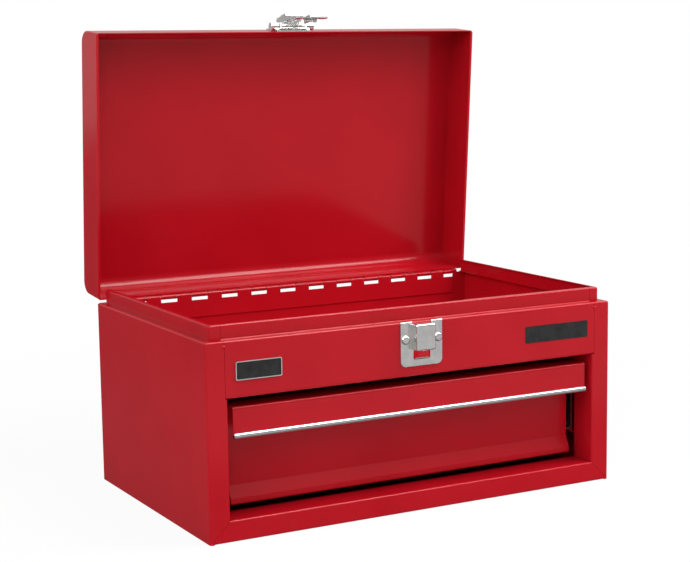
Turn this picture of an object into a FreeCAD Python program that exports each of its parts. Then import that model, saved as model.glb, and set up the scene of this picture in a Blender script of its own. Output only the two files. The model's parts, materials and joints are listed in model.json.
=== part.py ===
import FreeCAD, Part
import math
import os
import re
import Sketcher

# Portable tool box: a lift-up lid over one drawer, in folded and welded sheet steel.
# X runs to the right, Y to the back and Z up. The origin is the middle of the base.
# The box is drawn with its lid held open, as it stands in use.

# Driving sizes, in millimetres and degrees.
SIZES = {
    # box shell
    "width": 405.0,
    "depth": 251.0,
    "height": 169.5,
    "sheet": 0.9,
    "bend": 2.0,
    "seam": 0.3,
    "overrun": 5.0,
    "side_inset": 7.0,
    "front_inset": 7.6,
    "lip_height": 12.6,
    "lip_return": 3.4,
    "lip_clearance": 1.2,
    "flange": 16.5,
    "opening_inset": 18.7,
    "opening_bottom": 18.5,
    "opening_drop": 48.3,
    "return_depth": 28.0,
    "shelf_depth": 30.0,
    "shelf_drop": 8.0,
    "panel_return": 16.0,
    "edge_flange": 9.0,
    "floor_drop": 45.0,
    # lid
    "lid_height": 41.5,
    "lid_side_inset": 1.5,
    "lid_front_inset": 1.0,
    "lid_bend": 12.0,
    "lid_hem": 15.0,
    "lid_step": 0.5,
    "rim_gap": 0.5,
    "open_angle": 85.5,
    # piano hinge
    "leaf": 1.0,
    "leaf_air": 0.25,
    "barrel_radius": 2.2,
    "pin_radius": 1.15,
    "pin_clearance": 0.05,
    "pin_drop": 0.6,
    "hinge_margin": 16.6,
    "first_knuckle": 39.3,
    "knuckle_pitch": 31.5,
    "knuckle": 15.2,
    "knuckle_gap": 0.8,
    "box_leaf": 22.0,
    "lid_leaf": 16.0,
    "box_notch": 5.6,
    "lid_notch": 3.4,
    "rear_drop": 7.5,
    "stop_flange": 4.0,
    "stop_width": 5.0,
    "stop_gap": 0.2,
    # drawer
    "drawer_inset": 30.8,
    "drawer_bottom": 25.5,
    "tray_drop": 69.5,
    "drawer_gap": 14.2,
    "drawer_hem": 8.0,
    "band_inset": 24.6,
    "band_recess": 4.0,
    "band_bottom_drop": 82.0,
    "band_top_drop": 56.5,
    "panel_inset": 28.9,
    "panel_recess": 27.2,
    "panel_break": 41.0,
    "foot_recess": 22.1,
    "foot_top": 30.0,
    "front_flange": 14.0,
    # aluminium pull on the drawer
    "pull_reach": 3.0,
    "pull_drop": 78.5,
    "pull_wall": 1.2,
    "pull_grip": 3.0,
    "pull_round": 2.0,
    "pull_end": 0.8,
    # ball-bearing slides
    "slide_drop": 0.75,
    "slide_gap": 17.1,
    "slide_setback": 33.0,
    "bracket_height": 44.0,
    "bracket_tab": 9.0,
    "rail_sheet": 1.2,
    "rail_height": 36.0,
    "rail_depth": 9.6,
    "runner_height": 25.0,
    "runner_depth": 7.4,
    "ball_radius": 2.0,
    "ball_clearance": 0.1,
    "ball_offset": 6.2,
    "ball_pitch": 10.0,
    "cage_sheet": 0.6,
    "cage_air": 1.2,
    "cage_depth": 6.6,
    "cage_length": 50.0,
    "slide_travel": 150.0,
    "slide_rivet_head": 0.8,
    "slide_rivet_radius": 3.0,
    "slide_rivet_setback": 25.0,
    "rivet_shank": 1.6,
    # latch on the lid
    "latch_pivot_out": 4.2,
    "latch_pivot_up": 10.0,
    "latch_width": 45.0,
    "latch_knuckle": 7.9,
    "latch_barrel": 4.0,
    "latch_pin": 1.5,
    "latch_plate_width": 37.0,
    "latch_plate_low": 1.0,
    "latch_plate_high": 28.5,
    "latch_plate": 1.2,
    "latch_gap": 0.4,
    "cheek": 1.2,
    "cheek_top": 2.6,
    "cheek_reach": 8.2,
    "cheek_clear": 1.5,
    "cheek_shoulder": 14.0,
    "flap_length": 43.9,
    "flap_barrel": 2.8,
    "strip_width": 35.0,
    "strip_height": 4.4,
    "lug_width": 12.9,
    "lug_height": 2.3,
    "lug_reach": 3.0,
    "thumb_width": 18.8,
    "thumb_height": 12.0,
    "thumb_reach": 11.1,
    "thumb_round": 2.0,
    "flap_lift": 16.5,
    "latch_rivet_up": 25.0,
    "latch_rivet_out": 11.0,
    "latch_rivet_radius": 2.5,
    "latch_rivet_head": 1.1,
    # catch on the front
    "catch_width": 42.0,
    "catch_drop": 39.5,
    "catch_sheet": 1.2,
    "catch_round": 5.0,
    "catch_gap": 0.3,
    "staple_width": 19.4,
    "staple_low_drop": 24.9,
    "staple_high_drop": 1.7,
    "staple_reach": 9.5,
    "staple_round": 1.8,
    "slot_width": 17.1,
    "slot_low_drop": 33.5,
    "slot_high_drop": 24.9,
    "spring_sheet": 0.5,
    "spring_width": 14.0,
    "spring_rise": 1.3,
    "spring_root": 2.0,
    "catch_rivet_out": 16.45,
    "catch_rivet_drop": 15.5,
    "catch_rivet_radius": 4.0,
    "catch_rivet_head": 2.0,
    # badge and label, both bare
    "badge_left": 25.9,
    "badge_drop": 33.5,
    "badge_width": 42.0,
    "badge_height": 15.8,
    "badge_sheet": 1.2,
    "badge_round": 1.5,
    "badge_frame": 0.8,
    "badge_clearance": 0.05,
    "label_left": 311.7,
    "label_drop": 31.2,
    "label_width": 68.6,
    "label_height": 15.2,
    "label_sheet": 0.3,
    # carry handle on the lid
    "handle_span": 112.0,
    "handle_leg": 34.0,
    "handle_rod": 3.5,
    "handle_bend": 9.0,
    "handle_end": 9.0,
    "handle_end_bend": 4.2,
    "handle_clearance": 0.08,
    "handle_rise": 7.4,
    "grip_length": 82.0,
    "grip_wall": 2.6,
    "bracket_plate": 1.5,
    "bracket_width": 22.0,
    "bracket_foot": 20.0,
    "bracket_air": 0.5,
    "bracket_crown": 3.4,
    "handle_rivet_radius": 3.2,
    "handle_rivet_head": 1.6,
}

# Sizes that follow from the driving ones.
FRONT = "-depth / 2"
REAR = "depth / 2"
INSIDE = "(width / 2 - sheet)"
LID_REAR = "(depth / 2 - sheet - leaf)"
PIN_OFFSET = "(barrel_radius + leaf_air)"
PIN_Y = f"({LID_REAR} + {PIN_OFFSET})"
PIN_Z = "(height - pin_drop)"
# Levels that hang from the top of the box.
OPENING_TOP = "(height - opening_drop)"
FLOOR_LEVEL = "(height - floor_drop)"
BAND_TOP = "(height - band_top_drop)"
BAND_BOTTOM = "(height - band_bottom_drop)"
PULL_TOP = "(height - pull_drop)"
STAPLE_LOW = "(height - staple_low_drop)"
STAPLE_HIGH = "(height - staple_high_drop)"
SLOT_LOW = "(height - slot_low_drop)"
SLOT_HIGH = "(height - slot_high_drop)"
BADGE_BOTTOM = "(height - badge_drop)"
LABEL_BOTTOM = "(height - label_drop)"
CATCH_BOTTOM = "(height - catch_drop)"
CATCH_RIVET_LEVEL = "(height - catch_rivet_drop)"
TRAY_TOP = "(height - tray_drop)"
SLIDE_LEVEL = "((drawer_bottom + height - tray_drop) / 2 - slide_drop)"
HINGE_END = "(width / 2 - hinge_margin)"
RIM = "(rim_gap + pin_drop)"
LID_FRONT = f"(lid_front_inset - depth / 2 - {PIN_Y})"

doc = FreeCAD.newDocument("ToolBox")
sheet = doc.addObject("Spreadsheet::Sheet", "Sizes")
for row, (name, size) in enumerate(SIZES.items(), start=1):
    sheet.set(f"A{row}", name)
    sheet.set(f"B{row}", str(size))
    sheet.setAlias(f"B{row}", name)
doc.recompute()

pieces = []
AXES = {"XY": "z", "XZ": "y", "YZ": "x"}
EACH_WAY = (-1, 1)
TOUCH_SHARE = 0.01
DOME_SHARE = 0.85


def link(text):
    """Point each size name in an expression at the sheet of sizes."""
    return re.sub(r"[a-z_]+", lambda word: "Sizes." + word[0] if word[0] in SIZES else word[0], text)


def measure(text):
    """Work out an expression of size names, in millimetres."""
    return float(sheet.evalExpression(text))


def bind(thing, prop, text):
    """Tie one property of a thing to an expression of size names."""
    thing.setExpression(prop, link(text))


def new_piece(name, place=("0", "0", "0"), turn=None):
    """Start a body for one piece, at its place and turned about X."""
    piece = doc.addObject("PartDesign::Body", name)
    piece.Label = name
    put(piece, place, turn)
    pieces.append(piece)
    return piece


def put(thing, place, turn=None):
    """Set a thing's place, and its turn about X where it has one."""
    if turn:
        thing.Placement.Rotation = FreeCAD.Rotation(FreeCAD.Vector(1, 0, 0), measure(turn))
        bind(thing, "Placement.Rotation.Angle", turn)
    for axis, text in zip("xyz", place):
        bind(thing, f"Placement.Base.{axis}", text)


def new_sketch(piece, plane, low):
    """Attach a sketch to an origin plane of the piece, raised to low along the plane's axis."""
    sketch = piece.newObject("Sketcher::SketchObject", piece.Name + "_outline")
    support = [item for item in piece.Origin.OriginFeatures if item.Role == plane + "_Plane"][0]
    sketch.AttachmentSupport = [(support, "")]
    sketch.MapMode = "FlatFace"
    bind(sketch, "AttachmentOffset.Base.z", f"-({low})" if plane == "XZ" else low)
    return sketch


def tie(sketch, constraint, text):
    """Add a constraint whose value follows an expression."""
    number = sketch.addConstraint(constraint)
    sketch.setExpression(f"Constraints[{number}]", link(text))


def draw(sketch, corners, closed=True):
    """Draw straight edges through corners (across, up, radius), rounded where a radius is given."""
    corners = [tuple(corner) + (None,) * (3 - len(corner)) for corner in corners]
    points = [FreeCAD.Vector(measure(u), measure(v), 0) for u, v, r in corners]
    count = len(points)
    last = count if closed else count - 1
    ways = [(points[(i + 1) % count] - points[i]).normalize() for i in range(last)]
    rounds = []
    for i, (u, v, r) in enumerate(corners):
        radius = measure(r) if r else 0
        bounds = closed or 0 < i < count - 1
        turn = ways[i - 1].getAngle(ways[i % last]) if radius and bounds else 0
        rounds.append((radius, radius * math.tan(turn / 2)))
    edges = []
    for i in range(last):
        start = points[i] + ways[i] * rounds[i][1]
        end = points[(i + 1) % count] - ways[i] * rounds[(i + 1) % count][1]
        edges.append(sketch.addGeometry(Part.LineSegment(start, end), False))
    for i, (u, v, r) in enumerate(corners):
        radius, trim = rounds[i]
        if not closed and i in (0, count - 1):
            edge, end = (edges[0], 1) if i == 0 else (edges[-1], 2)
            tie(sketch, Sketcher.Constraint("DistanceX", edge, end, points[i].x), u)
            tie(sketch, Sketcher.Constraint("DistanceY", edge, end, points[i].y), v)
            continue
        before, after = edges[i - 1], edges[i]
        if not trim:
            sketch.addConstraint(Sketcher.Constraint("Coincident", before, 2, after, 1))
            tie(sketch, Sketcher.Constraint("DistanceX", after, 1, points[i].x), u)
            tie(sketch, Sketcher.Constraint("DistanceY", after, 1, points[i].y), v)
            continue
        left = ways[i - 1].cross(ways[i]).z > 0
        start = points[i] - ways[i - 1] * trim
        end = points[i] + ways[i] * trim
        side = FreeCAD.Vector(-ways[i - 1].y, ways[i - 1].x, 0) * (radius if left else -radius)
        centre = start + side
        first, second = (start, end) if left else (end, start)
        angles = [math.atan2(p.y - centre.y, p.x - centre.x) for p in (first, second)]
        circle = Part.Circle(centre, FreeCAD.Vector(0, 0, 1), radius)
        arc = sketch.addGeometry(Part.ArcOfCircle(circle, angles[0], angles[1]), False)
        mark = sketch.addGeometry(Part.Point(points[i]), True)
        near, far = (1, 2) if left else (2, 1)
        sketch.addConstraint([
            Sketcher.Constraint("Tangent", before, 2, arc, near),
            Sketcher.Constraint("Tangent", arc, far, after, 1),
            Sketcher.Constraint("PointOnObject", mark, 1, before),
            Sketcher.Constraint("PointOnObject", mark, 1, after),
        ])
        tie(sketch, Sketcher.Constraint("Radius", arc, radius), r)
        tie(sketch, Sketcher.Constraint("DistanceX", mark, 1, points[i].x), u)
        tie(sketch, Sketcher.Constraint("DistanceY", mark, 1, points[i].y), v)
    return sketch


def draw_circle(sketch, across, up, radius):
    """Draw one circle, its centre and radius tied to expressions."""
    centre = FreeCAD.Vector(measure(across), measure(up), 0)
    size = measure(radius)
    circle = sketch.addGeometry(Part.Circle(centre, FreeCAD.Vector(0, 0, 1), size), False)
    tie(sketch, Sketcher.Constraint("DistanceX", circle, 3, centre.x), across)
    tie(sketch, Sketcher.Constraint("DistanceY", circle, 3, centre.y), up)
    tie(sketch, Sketcher.Constraint("Radius", circle, size), radius)
    return sketch


def extrude(piece, sketch, plane, low, high):
    """Pad a sketch from low to high along the plane's axis."""
    pad = piece.newObject("PartDesign::Pad", piece.Name + "_pad")
    pad.Profile = sketch
    pad.Reversed = plane == "XZ"
    bind(pad, "Length", f"({high}) - ({low})")
    doc.recompute()
    return pad


def carve(piece, sketch, plane, low, high):
    """Cut a sketch out of the piece from low to high along the plane's axis."""
    before = piece.Shape.Volume
    pocket = piece.newObject("PartDesign::Pocket", piece.Name + "_cut")
    pocket.Profile = sketch
    pocket.Reversed = plane != "XZ"
    bind(pocket, "Length", f"({high}) - ({low})")
    doc.recompute()
    if piece.Shape.Volume >= before:
        raise RuntimeError(f"a cut in {piece.Label} takes nothing away")
    return pocket


def add(piece, plane, corners, low, high):
    """Add a prism of the outline from low to high."""
    return extrude(piece, draw(new_sketch(piece, plane, low), corners), plane, low, high)


def cut(piece, plane, corners, low, high):
    """Cut a prism of the outline from low to high."""
    return carve(piece, draw(new_sketch(piece, plane, low), corners), plane, low, high)


def add_round(piece, plane, centre, radius, low, high):
    """Add a cylinder along the plane's axis."""
    return extrude(piece, draw_circle(new_sketch(piece, plane, low), *centre, radius), plane, low, high)


def cut_round(piece, plane, centre, radius, low, high):
    """Bore a round hole along the plane's axis."""
    return carve(piece, draw_circle(new_sketch(piece, plane, low), *centre, radius), plane, low, high)


def rectangle(left, bottom, right, top, radius=None):
    """Return the four corners of an upright rectangle."""
    return [(left, bottom, radius), (right, bottom, radius), (right, top, radius), (left, top, radius)]


def folded(path, wall="sheet", bend="bend"):
    """Return the outline of a folded sheet whose face follows the path, its wall on the left."""
    points = [FreeCAD.Vector(measure(u), measure(v), 0) for u, v in path]
    ways = [(b - a).normalize() for a, b in zip(points, points[1:])]
    normals = [FreeCAD.Vector(-way.y, way.x, 0) for way in ways]
    near = []
    far = []
    for i, (u, v) in enumerate(path):
        before, after = normals[max(i - 1, 0)], normals[min(i, len(normals) - 1)]
        mitre = (before + after) * (1 / (1 + before.dot(after)))
        shifted = (f"{u} + {mitre.x:.9g} * {wall}", f"{v} + {mitre.y:.9g} * {wall}")
        if i in (0, len(path) - 1):
            near.append((u, v))
            far.append(shifted)
            continue
        turns_left = before.cross(after).z > 0
        wide, tight = bend, f"({bend}) - {wall}"
        near.append((u, v, wide if turns_left else tight))
        far.append((*shifted, tight if turns_left else wide))
    return near + far[::-1]


def fold(piece, plane, path, low, high, wall="sheet", bend="bend"):
    """Add a folded sheet from low to high."""
    return add(piece, plane, folded(path, wall, bend), low, high)


def round_edges(piece, radius, wanted, spared=None):
    """Round the edges of the piece whose ends are wanted, but not those whose ends are spared."""
    base = piece.Tip
    names = []
    for number, edge in enumerate(base.Shape.Edges, start=1):
        ends = [vertex.Point for vertex in edge.Vertexes]
        if spared and all(spared(end) for end in ends):
            continue
        if ends and all(wanted(end) for end in ends):
            names.append(f"Edge{number}")
    fillet = piece.newObject("PartDesign::Fillet", piece.Name + "_round")
    fillet.Base = (base, names)
    bind(fillet, "Radius", radius)
    doc.recompute()
    return fillet


def mirrored(source, name):
    """Make the right-hand twin of a left-hand piece."""
    twin = doc.addObject("Part::Mirroring", name)
    twin.Label = name
    twin.Source = source
    twin.Normal = FreeCAD.Vector(1, 0, 0)
    pieces.append(twin)
    doc.recompute()
    return twin


def level(value, text):
    """Say whether a coordinate lies at a worked-out size."""
    return abs(value - measure(text)) < measure("sheet") * TOUCH_SHARE


# The box shell: folded panels, butt-welded into one casing.

def make_side_panel():
    """Side wall with its front flange, the return beside the drawer, the ledge and the lip."""
    piece = new_piece("side_panel_left")
    outer = "-width / 2"
    rear = "depth / 2 - sheet"
    lip_rear = f"{LID_REAR} - sheet - lip_clearance"
    lip_x = "side_inset - width / 2"
    lip_y = "front_inset - depth / 2"
    seam = "flange - width / 2"
    edge = "opening_inset - width / 2"
    wall = [(outer, rear), (outer, FRONT), (edge, FRONT), (edge, "return_depth - depth / 2")]
    fold(piece, "XY", wall, "0", "height")
    corner = [
        ("2 * bend - width / 2", "-overrun"),
        (f"{edge} + overrun", "-overrun"),
        (f"{edge} + overrun", "opening_bottom * (1 + overrun / opening_inset)"),
        ("2 * bend - width / 2", "opening_bottom * 2 * bend / opening_inset"),
    ]
    cut(piece, "XZ", corner, f"{FRONT} - overrun", "return_depth - depth / 2 + overrun")
    above = rectangle(seam, f"{FRONT} - overrun", f"{edge} + overrun", "return_depth - depth / 2 + overrun")
    cut(piece, "XY", above, OPENING_TOP, "height + overrun")
    ledge = [
        (outer, rear),
        (outer, FRONT, "bend"),
        (seam, FRONT),
        (seam, f"{lip_y} + sheet"),
        (f"{lip_x} + sheet", f"{lip_y} + sheet", "bend - sheet"),
        (f"{lip_x} + sheet", rear),
    ]
    add(piece, "XY", ledge, "height - sheet", "height")
    fold(piece, "XY", [(lip_x, lip_rear), (lip_x, lip_y), (seam, lip_y)], "height - sheet", "height + lip_height")
    rim = [
        (lip_x, lip_rear),
        (lip_x, lip_y, "bend"),
        (seam, lip_y),
        (seam, f"{lip_y} + lip_return"),
        (f"{lip_x} + lip_return", f"{lip_y} + lip_return"),
        (f"{lip_x} + lip_return", lip_rear),
    ]
    add(piece, "XY", rim, "height + lip_height - sheet", "height + lip_height")

    def outside(x, y, top):
        def wanted(point):
            near_x = point.x < measure(f"{x} + bend * {1 + TOUCH_SHARE}")
            near_y = point.y < measure(f"{y} + bend * {1 + TOUCH_SHARE}")
            return level(point.z, top) and (near_x or near_y)
        return wanted

    round_edges(piece, "bend", outside(outer, FRONT, "height"))
    round_edges(piece, "bend", outside(lip_x, lip_y, "height + lip_height"))
    return piece


def make_front_panel():
    """Panel over the drawer: bottom return, face, ledge and lip, with the slot for the catch."""
    piece = new_piece("front_panel")
    lip_y = "front_inset - depth / 2"
    path = [
        (f"{lip_y} + lip_return", "height + lip_height"),
        (lip_y, "height + lip_height"),
        (lip_y, "height"),
        (FRONT, "height"),
        (FRONT, OPENING_TOP),
        ("panel_return - depth / 2", OPENING_TOP),
    ]
    fold(piece, "YZ", path, "flange + seam - width / 2", "width / 2 - flange - seam")
    slot = rectangle("-slot_width / 2", SLOT_LOW, "slot_width / 2", SLOT_HIGH)
    cut(piece, "XZ", slot, f"{FRONT} - overrun", f"{FRONT} + sheet + overrun")
    for side in EACH_WAY:
        centre = (f"{side} * catch_rivet_out", CATCH_RIVET_LEVEL)
        cut_round(piece, "XZ", centre, "rivet_shank", f"{FRONT} - overrun", f"{FRONT} + sheet + overrun")
    return piece


def make_rear_panel():
    """Back panel, cut down behind the hinge, with an out-turned ear at each end that stops the lid."""
    piece = new_piece("rear_panel")
    low_top = "height - rear_drop"
    ear_top = f"{PIN_Z} + {PIN_OFFSET} - stop_gap"
    ear = f"({HINGE_END} + knuckle_gap)"
    ear_end = f"({ear} + stop_width)"
    inner = "depth / 2 - sheet"
    add(piece, "XY", rectangle("-width / 2", inner, "width / 2", REAR), "0", low_top)
    for low, high in ((f"-{ear_end}", f"-{ear}"), (ear, ear_end)):
        path = [(f"{REAR} + stop_flange", ear_top), (inner, ear_top), (inner, f"{low_top} - overrun")]
        fold(piece, "YZ", path, low, high)
    for low, high in (("-width / 2", f"-{ear_end}"), (ear_end, "width / 2")):
        add(piece, "XY", rectangle(low, inner, high, REAR), f"{low_top} - overrun", "height - bend / 2")
    return piece


def make_base_panel():
    """Floor, mitred front flange, shelf under the drawer and up-turned edges."""
    piece = new_piece("base_panel")
    shelf_y = "shelf_depth - depth / 2"
    rear = "depth / 2 - sheet"
    path = [
        (shelf_y, "opening_bottom - shelf_drop"),
        (shelf_y, "opening_bottom"),
        (FRONT, "opening_bottom"),
        (FRONT, "0"),
        (rear, "0"),
    ]
    fold(piece, "YZ", path, f"-{INSIDE}", INSIDE)
    for side in EACH_WAY:
        corner = [
            (f"{side} * (width / 2 + overrun)", "-overrun"),
            (f"{side} * (width / 2 - 2 * bend - seam)", "-overrun"),
            (f"{side} * (width / 2 - 2 * bend - seam)", "opening_bottom * 2 * bend / opening_inset"),
            (f"{side} * (width / 2 - opening_inset - seam)", "opening_bottom"),
            (f"{side} * (width / 2 - opening_inset - seam)", "opening_bottom + overrun"),
            (f"{side} * (width / 2 + overrun)", "opening_bottom + overrun"),
        ]
        cut(piece, "XZ", corner, f"{FRONT} - overrun", f"{shelf_y} + sheet")
        ends = sorted((f"{side} * {INSIDE}", f"{side} * ({INSIDE} - sheet)"), key=measure)
        add(piece, "XZ", rectangle(ends[0], "0", ends[1], "edge_flange"), f"{shelf_y} + overrun", rear)
    add(piece, "YZ", rectangle(f"{rear} - sheet", "0", rear, "edge_flange"), f"-{INSIDE}", INSIDE)
    return piece


def make_compartment_floor():
    """Floor between the top compartment and the drawer, its edges turned up to the walls."""
    piece = new_piece("compartment_floor")
    front, rear = f"{FRONT} + sheet", "depth / 2 - sheet"
    tray = rectangle(f"-{INSIDE}", front, INSIDE, rear, "bend")
    hollow = rectangle(f"-{INSIDE} + sheet", f"{front} + sheet", f"{INSIDE} - sheet", f"{rear} - sheet", "bend - sheet")
    add(piece, "XY", tray, f"{FLOOR_LEVEL} - sheet", f"{FLOOR_LEVEL} + edge_flange")
    cut(piece, "XY", hollow, FLOOR_LEVEL, f"{FLOOR_LEVEL} + edge_flange + overrun")
    return piece


# The slides: a bracket and rail on each wall, a caged row of balls, and a runner on the drawer.

SLIDE_FRONT = "(slide_setback - depth / 2)"
SLIDE_REAR = "(depth / 2 - sheet - slide_gap)"
RAIL_BACK = "(opening_inset - width / 2)"
RUNNER_BACK = "(drawer_inset - width / 2)"
BALL_X = f"({RAIL_BACK} + ball_offset)"
BALL_RISE = "((rail_height / 2 - rail_sheet + runner_height / 2) / 2)"
CAGE_MIDDLE = f"(({SLIDE_FRONT} + {SLIDE_REAR}) / 2)"


def make_slide_bracket():
    """Hat-shaped bracket that carries the rail out from the side wall."""
    piece = new_piece("slide_bracket_left")
    wall = "2 * sheet - width / 2"
    low, high = f"{SLIDE_LEVEL} - bracket_height / 2", f"{SLIDE_LEVEL} + bracket_height / 2"
    path = [
        (wall, f"{low} - bracket_tab"),
        (wall, low),
        (RAIL_BACK, low),
        (RAIL_BACK, high),
        (wall, high),
        (wall, f"{high} + bracket_tab"),
    ]
    fold(piece, "XZ", path, SLIDE_FRONT, SLIDE_REAR)
    for place in rivet_places():
        cut_round(piece, "YZ", place, "rivet_shank", f"{RAIL_BACK} - overrun", f"{RAIL_BACK} + overrun")
    return piece


def rivet_places():
    """Return where the two rivets of each rail and runner lie, along Y and Z."""
    return [
        (f"{SLIDE_FRONT} + slide_rivet_setback", SLIDE_LEVEL),
        (f"{SLIDE_REAR} - slide_rivet_setback", SLIDE_LEVEL),
    ]


def make_slide_rail():
    """Outer channel of the slide, open towards the drawer."""
    piece = new_piece("slide_rail_left")
    low, high = f"{SLIDE_LEVEL} - rail_height / 2", f"{SLIDE_LEVEL} + rail_height / 2"
    tip = f"{RAIL_BACK} + rail_depth"
    path = [(tip, high), (RAIL_BACK, high), (RAIL_BACK, low), (tip, low)]
    fold(piece, "XZ", path, SLIDE_FRONT, SLIDE_REAR, "rail_sheet", "2 * rail_sheet")
    for place in rivet_places():
        cut_round(piece, "YZ", place, "rivet_shank", f"{RAIL_BACK} - overrun", f"{RAIL_BACK} + overrun")
    return piece


def make_drawer_runner():
    """Inner channel of the slide, fixed to the drawer's side."""
    piece = new_piece("drawer_runner_left")
    low, high = f"{SLIDE_LEVEL} - runner_height / 2", f"{SLIDE_LEVEL} + runner_height / 2"
    tip = f"{RUNNER_BACK} - runner_depth"
    path = [(tip, low), (RUNNER_BACK, low), (RUNNER_BACK, high), (tip, high)]
    fold(piece, "XZ", path, SLIDE_FRONT, SLIDE_REAR, "rail_sheet", "2 * rail_sheet")
    for place in rivet_places():
        cut_round(piece, "YZ", place, "rivet_shank", f"{RUNNER_BACK} - rail_sheet - overrun", f"{RUNNER_BACK} + overrun")
    return piece


def ball_places():
    """Return the places of the balls in one slide, in an upper and a lower row."""
    count = int(measure("cage_length / ball_pitch"))
    start = f"{CAGE_MIDDLE} - {(count - 1) / 2} * ball_pitch"
    return [
        (BALL_X, f"{start} + {step} * ball_pitch", f"{SLIDE_LEVEL} + {side} * {BALL_RISE}")
        for side in EACH_WAY
        for step in range(count)
    ]


def make_ball_cage():
    """Thin channel that keeps the balls of one slide apart."""
    piece = new_piece("ball_cage_left")
    back = f"{RAIL_BACK} + rail_sheet + cage_air"
    tip = f"{back} + cage_depth"
    rise = f"({BALL_RISE} + cage_sheet / 2)"
    path = [(tip, f"{SLIDE_LEVEL} + {rise}"), (back, f"{SLIDE_LEVEL} + {rise}"),
            (back, f"{SLIDE_LEVEL} - {rise}"), (tip, f"{SLIDE_LEVEL} - {rise}")]
    low, high = f"{CAGE_MIDDLE} - cage_length / 2", f"{CAGE_MIDDLE} + cage_length / 2"
    fold(piece, "XZ", path, low, high, "cage_sheet", "2 * cage_sheet")
    holes = new_sketch(piece, "XY", f"{SLIDE_LEVEL} - rail_height / 2")
    for x, y, z in ball_places():
        if measure(z) > measure(SLIDE_LEVEL):
            draw_circle(holes, x, y, "ball_radius + ball_clearance")
    carve(piece, holes, "XY", f"{SLIDE_LEVEL} - rail_height / 2", f"{SLIDE_LEVEL} + rail_height / 2")
    return piece


def make_slide_balls():
    """Steel balls of one slide."""
    balls = []
    for place in ball_places():
        ball = doc.addObject("Part::Sphere", "ball")
        bind(ball, "Radius", "ball_radius")
        put(ball, place)
        balls.append(ball)
    group = doc.addObject("Part::Compound", "slide_balls_left")
    group.Label = "slide_balls_left"
    group.Links = balls
    pieces.append(group)
    return group


def make_rivets(name, plane, places, face, out, radius, head, back, place=("0", "0", "0"), turn=None):
    """Domed rivets: heads on a face, pointing out (-1 or 1 along the axis), shanks through to back."""
    rivets = []
    for number, (across, up) in enumerate(places):
        rivet = doc.addObject("PartDesign::Body", f"{name}_{number}")
        low, high = (face, f"{face} + {head}") if out > 0 else (f"{face} - {head}", face)
        add_round(rivet, plane, (across, up), radius, low, high)
        edge = f"{face} + ({out}) * {head}"
        round_edges(rivet, f"{head} * {DOME_SHARE}", lambda point: level(getattr(point, AXES[plane]), edge))
        low, high = sorted((face, back), key=measure)
        add_round(rivet, plane, (across, up), f"rivet_shank - pin_clearance", low, high)
        rivets.append(rivet)
    group = doc.addObject("Part::Compound", name)
    group.Label = name
    group.Links = rivets
    put(group, place, turn)
    pieces.append(group)
    return group


# The drawer: a folded front, a tray, a pull strip and its two runners.

TRAY_FRONT = "(panel_recess + sheet - depth / 2)"
TRAY_SIDE = "(width / 2 - drawer_inset)"


def make_drawer_front():
    """One sheet: a hooked band across the top, and the set-back panel that runs in under the tray."""
    piece = new_piece("drawer_front")
    band_y = "band_recess - depth / 2"
    panel_y = "panel_recess - depth / 2"
    foot_y = "foot_recess - depth / 2"
    under = "drawer_bottom - sheet"
    band = [(f"{panel_y} + sheet", BAND_TOP), (band_y, BAND_TOP), (band_y, BAND_BOTTOM)]
    fold(piece, "YZ", band, "band_inset - width / 2", "width / 2 - band_inset")
    panel = [
        (panel_y, BAND_TOP),
        (panel_y, "panel_break"),
        (foot_y, "foot_top"),
        (foot_y, under),
        (f"{TRAY_FRONT} + front_flange", under),
    ]
    fold(piece, "YZ", panel, "panel_inset - width / 2", "width / 2 - panel_inset")
    return piece


def make_drawer_tray():
    """Bottom, sides and back of the drawer, the top edges hemmed inwards."""
    piece = new_piece("drawer_tray")
    rear = "depth / 2 - sheet - drawer_gap"
    inner = f"({TRAY_SIDE} - sheet)"
    add(piece, "XY", rectangle(f"-{TRAY_SIDE}", TRAY_FRONT, TRAY_SIDE, rear), "drawer_bottom", TRAY_TOP)
    hollow = rectangle(f"-{inner}", f"{TRAY_FRONT} - overrun", inner, f"{rear} - sheet")
    cut(piece, "XY", hollow, "drawer_bottom + sheet", f"{TRAY_TOP} + overrun")
    hem = f"{TRAY_TOP} - drawer_hem"
    add(piece, "XZ", rectangle(f"-{inner}", hem, f"sheet - {inner}", TRAY_TOP), TRAY_FRONT, f"{rear} - sheet")
    add(piece, "XZ", rectangle(f"{inner} - sheet", hem, inner, TRAY_TOP), TRAY_FRONT, f"{rear} - sheet")
    add(piece, "YZ", rectangle(f"{rear} - 2 * sheet", hem, f"{rear} - sheet", TRAY_TOP), f"-{inner}", inner)
    for place in rivet_places():
        cut_round(piece, "YZ", place, "rivet_shank", f"-{TRAY_SIDE} - overrun", f"overrun - {TRAY_SIDE}")
        cut_round(piece, "YZ", place, "rivet_shank", f"{TRAY_SIDE} - overrun", f"{TRAY_SIDE} + overrun")
    return piece


def make_drawer_pull():
    """Aluminium strip that grips the band's lower edge."""
    piece = new_piece("drawer_pull")
    band_y = "band_recess - depth / 2"
    back_y = f"{band_y} + sheet"
    low = f"{BAND_BOTTOM} - pull_wall"
    end = "(width / 2 - band_inset)"
    profile = [
        (f"{band_y} - pull_reach", low, "pull_round"),
        (f"{back_y} + pull_wall", low, "pull_round"),
        (f"{back_y} + pull_wall", f"{BAND_BOTTOM} + pull_grip"),
        (back_y, f"{BAND_BOTTOM} + pull_grip"),
        (back_y, BAND_BOTTOM),
        (band_y, BAND_BOTTOM),
        (band_y, PULL_TOP),
        (f"{band_y} - pull_reach", PULL_TOP, "pull_round"),
    ]
    add(piece, "YZ", profile, f"-{end}", end)
    face = measure(f"{band_y} - pull_reach + pull_round * {1 + TOUCH_SHARE}")
    round_edges(piece, "pull_end", lambda point: point.y < face and level(abs(point.x), end))
    return piece


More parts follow.
